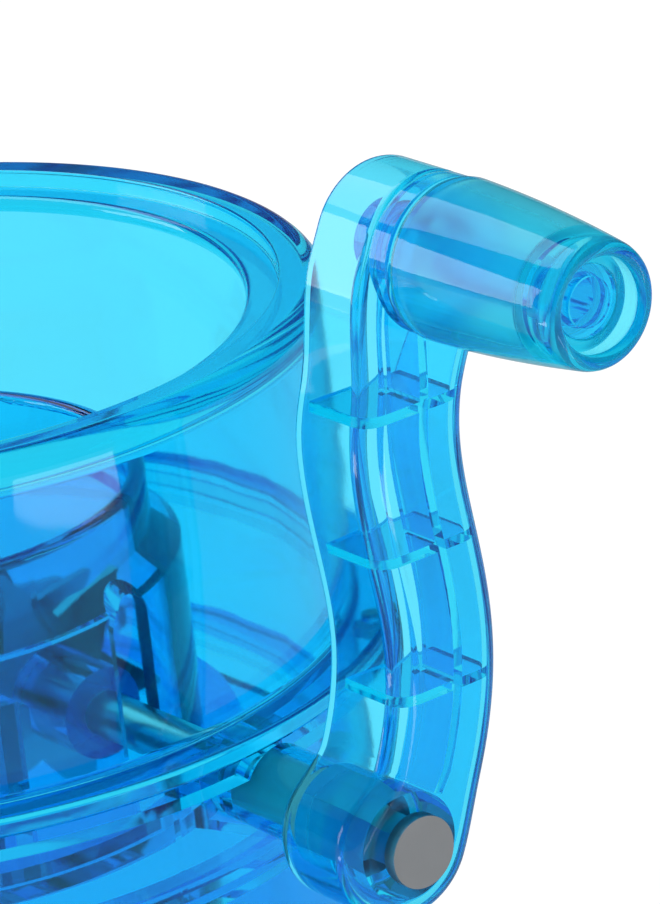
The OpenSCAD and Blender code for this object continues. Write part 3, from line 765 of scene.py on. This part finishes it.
class CRUSHER_OT_bar(bpy.types.Operator):
    """Makes the dark bar of painted shade in the feed tube's wall"""
    bl_idname = "crusher.bar"
    bl_label = "Make Painted Shade Bar"

    foot_round = 1.1 * MM
    head_round = 1.0 * MM
    cone_round = 0.4 * MM
    outer_shift = 0.1 * MM  # how far the bar's outer cone lies below the tube's
    inner_shift = 0.3 * MM  # how far the bar's inner cone lies above the tube's
    steps = 8               # flat faces across the bar

    def execute(self, context):
        s = context.scene.crusher_bar
        foot = TUBE_LOW.z + s.foot
        head = TUBE_HIGH.z - s.head
        step_out = TUBE_LOW.z + s.step - self.outer_shift
        step_in = TUBE_LOW.z + s.step - s.wall / 2 + self.inner_shift
        low_out, top_out = s.low - s.inset, s.top - s.inset
        low_in, top_in = s.low - s.wall + s.inset, s.top - s.wall + s.inset
        profile = rounded_path([
            (low_in, foot, self.foot_round), (low_out, foot, self.foot_round),
            (low_out, step_out, self.cone_round), (top_out, step_out + s.cone, self.cone_round),
            (top_out, head, self.head_round), (top_in, head, self.head_round),
            (top_in, step_in + s.cone, self.cone_round), (low_in, step_in, self.cone_round)])
        turns = [
            s.azimuth + s.spread * (k / self.steps - 0.5) for k in range(self.steps + 1)]
        bar = shade(prism("feed_tube_painted_shade_bar", [
            [Vector((r * math.cos(a), r * math.sin(a), z)) for r, z in profile]
            for a in turns]))
        # painted shade: an opaque navy bar inside the clear wall stands for the wall's dark band
        bar.data.materials.append(bpy.data.materials["Navy Bar"])
        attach(bar, "root")
        return {"FINISHED"}


class CRUSHER_OT_arm(bpy.types.Operator):
    """Makes the crank arm: a waved channel with ribs, hub and collar"""
    bl_idname = "crusher.arm"
    bl_label = "Make Crank Arm"

    least_corner = 0.6 * MM
    hub_edge = 0.5 * MM
    boss_edge = 0.4 * MM
    collar_edge = 0.5 * MM
    collar_inset = 0.02 * MM  # the collar stays this far inside the arm's round end
    collar_bed = 0.6          # share of the skin's thickness that the collar stands in
    bite = 1 * MM             # how far the long rib runs into hub and boss
    spine_steps = 24

    def execute(self, context):
        s = context.scene.crusher_arm
        shape = ArmShape(s)
        half = s.width / 2
        out_x = shape.out_x
        open_x = out_x - s.depth
        skin_x = out_x - s.wall
        lip = s.wall / 2
        inner_corner = max(s.corner - s.wall, self.least_corner)
        section = arc(
            half - s.wall - inner_corner, skin_x - inner_corner, inner_corner,
            start=90, end=0, steps=6)
        section += arc(half - lip, open_x + lip, lip, start=180, end=360, steps=8)
        section += arc(
            half - s.corner, out_x - s.corner, s.corner, start=0, end=90, steps=10)
        arm = prism("crank_arm_body", [shape.ring(h, x) for h, x in section])
        parts = self.cross_ribs(shape, s, half, skin_x, open_x + s.rib_recess)
        parts.append(self.long_rib(shape, s, skin_x))
        parts.append(round_bar(
            "hub", ARM_LOW.x, skin_x + s.wall / 2, s.hub, SHAFT_Y, SHAFT_Z, self.hub_edge))
        parts.append(round_bar(
            "boss", open_x + s.knob_cut + s.rib_recess, ARM_HIGH.x, s.boss,
            KNOB_Y, KNOB_Z, self.boss_edge))
        parts.append(self.collar(s, out_x, half))
        shade(joined(arm, parts))
        dress(arm, "Clear Blue", "crank", "clear_blue", "crank_arm")
        return {"FINISHED"}

    def collar(self, s, out_x, half):
        """The ring that stands round the knob's foot, set into the skin."""
        low = out_x - self.collar_bed * s.wall
        inner, outer = half - s.collar_wall, half - self.collar_inset
        path = rounded_path([
            (inner, low, 0), (outer, low, 0), (outer, ARM_HIGH.x, self.collar_edge),
            (inner, ARM_HIGH.x, self.collar_edge)], steps=4)
        return turned("collar", path, COLLAR_FACES, "X", (0, KNOB_Y, KNOB_Z))

    def cross_ribs(self, shape, s, half, skin_x, rib_x):
        """Level ribs at the quarter heights, set half a wall into walls and skin."""
        bed_x = skin_x + s.wall / 2
        bed_round = s.corner - s.wall / 2
        made = []
        for i in (1, 2, 3):
            h = shape.rise * i / 4
            tilt = math.hypot(1, shape.slope(h))
            middle = SHAFT_Y + shape.middle(h)
            front = middle + (s.front_in * shape.waist(h) - half + s.wall / 2) * tilt
            back = middle + (half - s.wall / 2 - s.back_in * shape.waist(h)) * tilt
            plan = rounded_path([
                (front, rib_x, 0), (back, rib_x, 0),
                (back, bed_x, bed_round), (front, bed_x, bed_round)])
            made.append(prism(f"rib_{i}", [
                [Vector((x, y, SHAFT_Z + h + dz)) for y, x in plan]
                for dz in (-s.rib / 2, s.rib / 2)]))
        return made

    def long_rib(self, shape, s, skin_x):
        """The rib down the skin, from hub to boss."""
        low = s.hub - self.bite
        high = shape.rise - s.boss + self.bite
        top_x, bed_x = skin_x - s.spine, skin_x + s.wall / 2
        rings = []
        for k in range(self.spine_steps + 1):
            h = low + (high - low) * k / self.spine_steps
            ring = []
            for side, x in ((-1, top_x), (1, top_x), (1, bed_x), (-1, bed_x)):
                y, z = shape.side(h, s.spine_back * shape.waist(h) + side * s.rib / 2)
                ring.append(Vector((x, SHAFT_Y + y, SHAFT_Z + z)))
            rings.append(ring)
        return prism("spine", rings)


class CRUSHER_OT_knob(bpy.types.Operator):
    """Makes the turning knob"""
    bl_idname = "crusher.knob"
    bl_label = "Make Knob"

    # Rounding of the foot's outer edge: distance in from the side and distance from the foot
    foot_round = ((0.8 * MM, 0.0), (0.35 * MM, 0.12 * MM), (0.08 * MM, 0.4 * MM))
    end_round = 1.25 * MM     # rounding of the rim round the recess
    rim_shift = 0.1 * MM      # how far that rounding lies further in
    rim_depth = 2.2 * MM      # where the recess's side begins, below the rim
    side_begin = 0.8 * MM     # the side runs from here
    side_end = 1.6 * MM       # to this distance from the end
    side_steps = 14
    fillet = 0.8 * MM         # rounding of the inner corners
    pocket_round = 0.4 * MM   # rounding of the pocket's mouth
    edge = 0.2 * MM           # rounding of the small edges
    sleeve_recess = 3.9 * MM  # distance of the sleeve's far end below the recess
    sleeve_foot = 0.4 * MM    # distance of the sleeve's near end from the foot
    foot_chamfer = 0.5 * MM   # width of the chamfer at the foot's inner edge
    bore_stations = (0.6, 0.5, 0.4, 0.3, 0.2, 0.1, 0.02)  # shares of the length, from the web
    satin_past = 0.1 * MM     # how far the satin goes on past the bore's end
    satin_off = 0.5 * MM      # how far it stays off the sleeve

    def execute(self, context):
        s = context.scene.crusher_knob
        full = KNOB_HIGH.x - KNOB_LOW.x
        recess_at = full - s.recess
        bore_end = recess_at - s.face_t
        path = self.profile(s, full, recess_at, bore_end)
        knob = shade(turned(
            "crank_knob_shell", path, KNOB_FACES, "X", (KNOB_LOW.x, KNOB_Y, KNOB_Z)))
        dress(knob, "Knob Blue", "knob", "clear_blue", "crank_knob")
        self.make_bore_satin(context.scene.crusher_finishes, s, full, bore_end)
        return {"FINISHED"}

    def profile(self, s, full, recess_at, bore_end):
        """Closed outline (radius, distance from the foot) of side, end, sleeve and bore."""
        def side(t):
            """Radius of the side at a share of the length."""
            return s.big + (s.small - s.big) * t + s.bulge * 4 * t * (1 - t)

        lip = s.wall / 2
        rim = side(1) - lip
        web_at = bore_end - s.web
        sleeve_end = recess_at - self.sleeve_recess
        span = full - self.side_end - self.side_begin
        path = [(side(0) - inwards, up) for inwards, up in self.foot_round]
        for k in range(self.side_steps + 1):
            along = self.side_begin + span * k / self.side_steps
            path.append((side(along / full), along))
        path += arc(
            rim - self.rim_shift, full - self.end_round, self.end_round,
            start=20, end=160, steps=10)
        path.append((rim - lip - self.rim_shift, full - self.rim_depth))
        path += rounded_path([
            (rim - lip, recess_at, self.fillet), (s.pocket, recess_at, self.pocket_round),
            (s.pocket, bore_end, self.edge), (s.sleeve, bore_end, self.edge),
            (s.sleeve, sleeve_end, self.edge), (s.bore, sleeve_end, self.edge),
            (s.bore, self.sleeve_foot, self.edge), (s.sleeve, self.sleeve_foot, self.edge),
            (s.sleeve, web_at, self.fillet),
            (side(web_at / full) - s.wall, web_at, self.fillet)], steps=4)
        path += [(side(t) - s.wall, t * full) for t in self.bore_stations]
        path.append((side(0) - s.wall + self.foot_chamfer, 0.0))
        return path

    def make_bore_satin(self, finish, s, full, bore_end):
        """Makes the faces inside the knob rougher than those outside."""
        tree = bpy.data.materials["Knob Blue"].node_tree
        satin = placed(
            tree, satin_bore_group(), Axis=(0.0, KNOB_Y, KNOB_Z), Start=KNOB_LOW.x,
            End=KNOB_LOW.x + bore_end + self.satin_past, Radius=s.big - s.wall / 2,
            Taper=(s.big - s.small) / full, Core=s.sleeve + self.satin_off,
            Satin=finish.satin, Gloss=finish.gloss)
        tree.links.new(
            satin.outputs["Roughness"], tree.nodes["Principled BSDF"].inputs["Roughness"])


class CRUSHER_OT_stage(bpy.types.Operator):
    """Makes the floor, the lights, the world and the camera"""
    bl_idname = "crusher.stage"
    bl_label = "Make Stage"

    # Camera place, and its right and up directions
    camera_at = Vector((0.81999, -0.49088, 0.5159))
    camera_right = Vector((0.61005, 0.78559, -0.10333))
    camera_up = Vector((-0.22637, 0.29777, 0.92741))

    # Lamps that look at the rim: azimuth, elevation, distance, width, height and radiance
    softboxes = {
        "Side softbox": (-135, 12, 1.2, 0.75, 0.6, 3.0),
        "Top softbox": (-168, 52, 1.2, 0.8, 0.8, 1.6)}

    # Panels on the floor: azimuth, distance, size outwards, size across and radiance
    floor_panels = {
        "Low panel": (13, 0.535, 0.07, 0.26, 2.2),
        "Corner panel": (-100, 0.53, 0.20, 0.16, 4.0)}

    panel_height = 4 * MM
    floor_reach = 6.0  # metres from the middle to each side

    def execute(self, context):
        scene = context.scene
        stage = scene.crusher_stage
        self.make_floor(stage)
        self.make_world(scene, stage)
        for name, row in self.softboxes.items():
            self.soft_light(name, *row)
        for name, row in self.floor_panels.items():
            self.floor_light(name, *row)
        self.make_camera(scene, stage)
        scene.view_settings.view_transform = "Standard"
        scene.cycles.max_bounces = BOUNCES
        scene.cycles.transmission_bounces = BOUNCES
        scene.cycles.glossy_bounces = BOUNCES
        return {"FINISHED"}

    def ray_shares(self, tree):
        """1 for camera and transmitted rays, and 1 for mirrored rays."""
        path = node(tree, "ShaderNodeLightPath")
        through = path.outputs["Is Transmission Ray"]
        seen = math_node(tree, "MAXIMUM", path.outputs["Is Camera Ray"], through)
        mirror = math_node(tree, "SUBTRACT", path.outputs["Is Glossy Ray"], through, clamp=True)
        return seen, mirror

    def make_floor(self, stage):
        """A matt floor that looks white and still takes the object's shadow."""
        bm = bmesh.new()
        bmesh.ops.create_grid(bm, x_segments=8, y_segments=8, size=self.floor_reach)
        floor = new_object("floor", bm)
        material, tree, shader = new_material("Floor")
        shader.inputs["Base Color"].default_value = (*stage.floor, 1)
        shader.inputs["Roughness"].default_value = 0.9
        shader.inputs["Specular IOR Level"].default_value = 0.0
        shader.inputs["Emission Color"].default_value = WHITE
        seen, mirror = self.ray_shares(tree)
        background = varied(tree, seen, mirror, stage.mirrored)
        glow = math_node(tree, "MULTIPLY", background, stage.glow)
        tree.links.new(glow, shader.inputs["Emission Strength"])
        floor.data.materials.append(material)

    def make_world(self, scene, stage):
        """Soft light from all round: white where it is seen, faint where it is mirrored."""
        world = bpy.data.worlds.new("Studio")
        world.use_nodes = True
        scene.world = world
        tree = world.node_tree
        shader = tree.nodes["Background"]
        shader.inputs["Color"].default_value = WHITE
        seen, mirror = self.ray_shares(tree)
        lit = varied(tree, stage.level, seen, 1.0 - stage.level)
        dimmed = varied(tree, lit, mirror, stage.mirrored - stage.level)
        tree.links.new(dimmed, shader.inputs["Strength"])

    def lamp(self, name, width, height, radiance):
        """A rectangle lamp that shows neither to the camera nor through the plastic."""
        data = bpy.data.lights.new(name, "AREA")
        data.shape = "RECTANGLE"
        data.size = width
        data.size_y = height
        data.energy = radiance * math.pi * width * height
        lamp = linked(name, data)
        lamp.visible_camera = False
        lamp.visible_transmission = False
        return lamp

    def soft_light(self, name, azimuth, elevation, distance, width, height, radiance):
        """A lamp that looks at the middle of the rim."""
        lamp = self.lamp(name, width, height, radiance)
        a, e = math.radians(azimuth), math.radians(elevation)
        out = Vector((math.cos(a) * math.cos(e), math.sin(a) * math.cos(e), math.sin(e)))
        lamp.location = Vector((0, 0, RIM_Z)) + out * distance
        lamp.rotation_euler = out.to_track_quat("Z", "Y").to_euler()

    def floor_light(self, name, azimuth, distance, outwards, across, radiance):
        """A lamp that lies on the floor and faces up."""
        lamp = self.lamp(name, outwards, across, radiance)
        a = math.radians(azimuth)
        lamp.location = Vector((math.cos(a) * distance, math.sin(a) * distance, self.panel_height))
        lamp.rotation_euler = (math.pi, 0, a)

    def make_camera(self, scene, stage):
        """The camera, which looks down at the rim from the crank's side."""
        data = bpy.data.cameras.new("Camera")
        data.lens = stage.lens
        data.sensor_width = 36.0
        data.clip_start = 0.01
        camera = linked("Camera", data)
        back = self.camera_right.cross(self.camera_up)
        turn = Matrix((self.camera_right, self.camera_up, back)).transposed()
        camera.matrix_world = Matrix.Translation(self.camera_at) @ turn.to_4x4()
        scene.camera = camera


class CRUSHER_PT_panel(bpy.types.Panel):
    """Sizes, colours and steps of the ice crusher"""
    bl_label = "Ice Crusher"
    bl_idname = "CRUSHER_PT_panel"
    bl_space_type = "VIEW_3D"
    bl_region_type = "UI"
    bl_category = "Crusher"

    def draw(self, context):
        layout = self.layout
        for label, group in GROUPS.items():
            box = layout.box()
            box.label(text=group.__doc__)
            settings = getattr(context.scene, label)
            for key in group.__annotations__:
                box.prop(settings, key)
        for step in STEPS:
            layout.operator(step.bl_idname)


GROUPS = {
    "crusher_tub": TubSizes, "crusher_bar": BarSizes, "crusher_arm": ArmSizes,
    "crusher_knob": KnobSizes, "crusher_finishes": Finishes, "crusher_stage": StageSettings}
STEPS = (
    CRUSHER_OT_finishes, CRUSHER_OT_nodes, CRUSHER_OT_tub, CRUSHER_OT_bar, CRUSHER_OT_arm,
    CRUSHER_OT_knob, CRUSHER_OT_stage)


def register():
    for group in GROUPS.values():
        bpy.utils.register_class(group)
    for step in STEPS:
        bpy.utils.register_class(step)
    bpy.utils.register_class(CRUSHER_PT_panel)
    for label, group in GROUPS.items():
        setattr(bpy.types.Scene, label, bpy.props.PointerProperty(type=group))


def unregister():
    for label in GROUPS:
        delattr(bpy.types.Scene, label)
    bpy.utils.unregister_class(CRUSHER_PT_panel)
    for step in reversed(STEPS):
        bpy.utils.unregister_class(step)
    for group in reversed(list(GROUPS.values())):
        bpy.utils.unregister_class(group)


def main():
    register()
    for step in STEPS:
        family, name = step.bl_idname.split(".")
        getattr(getattr(bpy.ops, family), name)()


if __name__ == "__main__":
    main()
